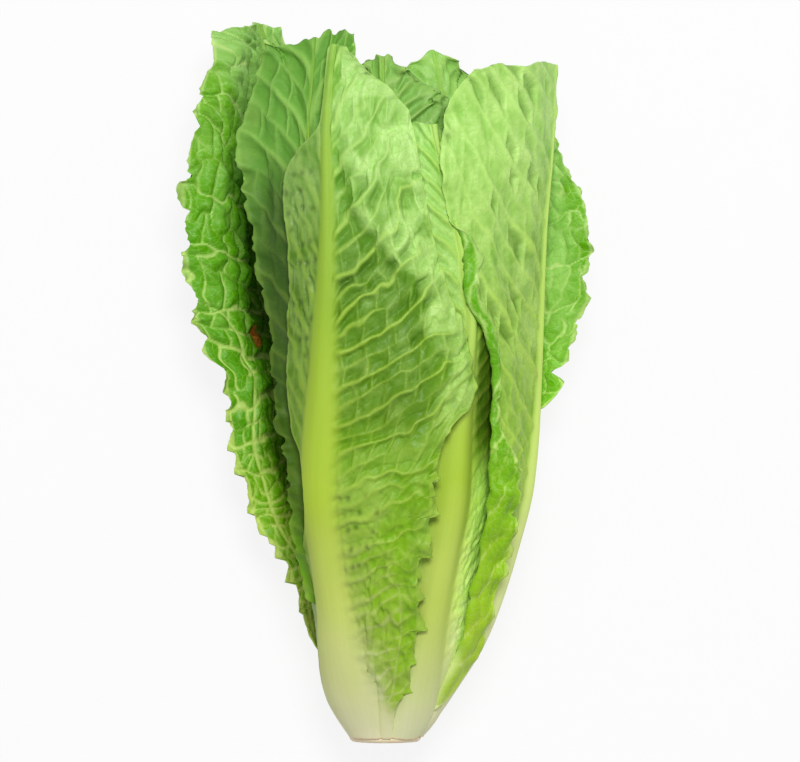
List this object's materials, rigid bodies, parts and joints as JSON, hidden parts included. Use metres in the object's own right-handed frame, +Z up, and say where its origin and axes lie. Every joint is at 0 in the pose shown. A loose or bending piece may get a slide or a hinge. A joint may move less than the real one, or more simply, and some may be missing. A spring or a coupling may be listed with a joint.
{
  "type": "romaine lettuce head",
  "caption": "Romaine lettuce head lying on its side, cut at the butt, with long nested leaves, thick pale midribs and ruffled green edges.",
  "frame": {"origin": "on the surface the head lies on, under the middle of its bounding box", "axes": "+Y from the cut butt to the leaf tips, +Z up, +X to the right of the leaf that lies on top"},
  "size_m": [0.1514, 0.279, 0.1012],
  "materials": {
    "outer_leaf_green": "satin",
    "inner_leaf_green": "satin",
    "stem_white": "satin"
  },
  "bodies": {
    "root": {"stem_core": "stem_white", "outer_leaf_front_left": "outer_leaf_green", "outer_leaf_front_right": "outer_leaf_green", "outer_leaf_right": "outer_leaf_green", "outer_leaf_back_right": "outer_leaf_green", "outer_leaf_back_left": "outer_leaf_green", "second_leaf_left": "inner_leaf_green", "second_leaf_back": "inner_leaf_green", "third_leaf_front": "inner_leaf_green", "third_leaf_left": "inner_leaf_green", "third_leaf_back_right": "inner_leaf_green", "fourth_leaf_front_left": "inner_leaf_green", "fourth_leaf_right": "inner_leaf_green", "fourth_leaf_back_left": "inner_leaf_green", "fifth_leaf_front": "inner_leaf_green", "fifth_leaf_back_left": "inner_leaf_green", "fifth_leaf_back_right": "inner_leaf_green", "heart_leaf_left": "inner_leaf_green", "heart_leaf_right": "inner_leaf_green"}
  },
  "joints": []
}
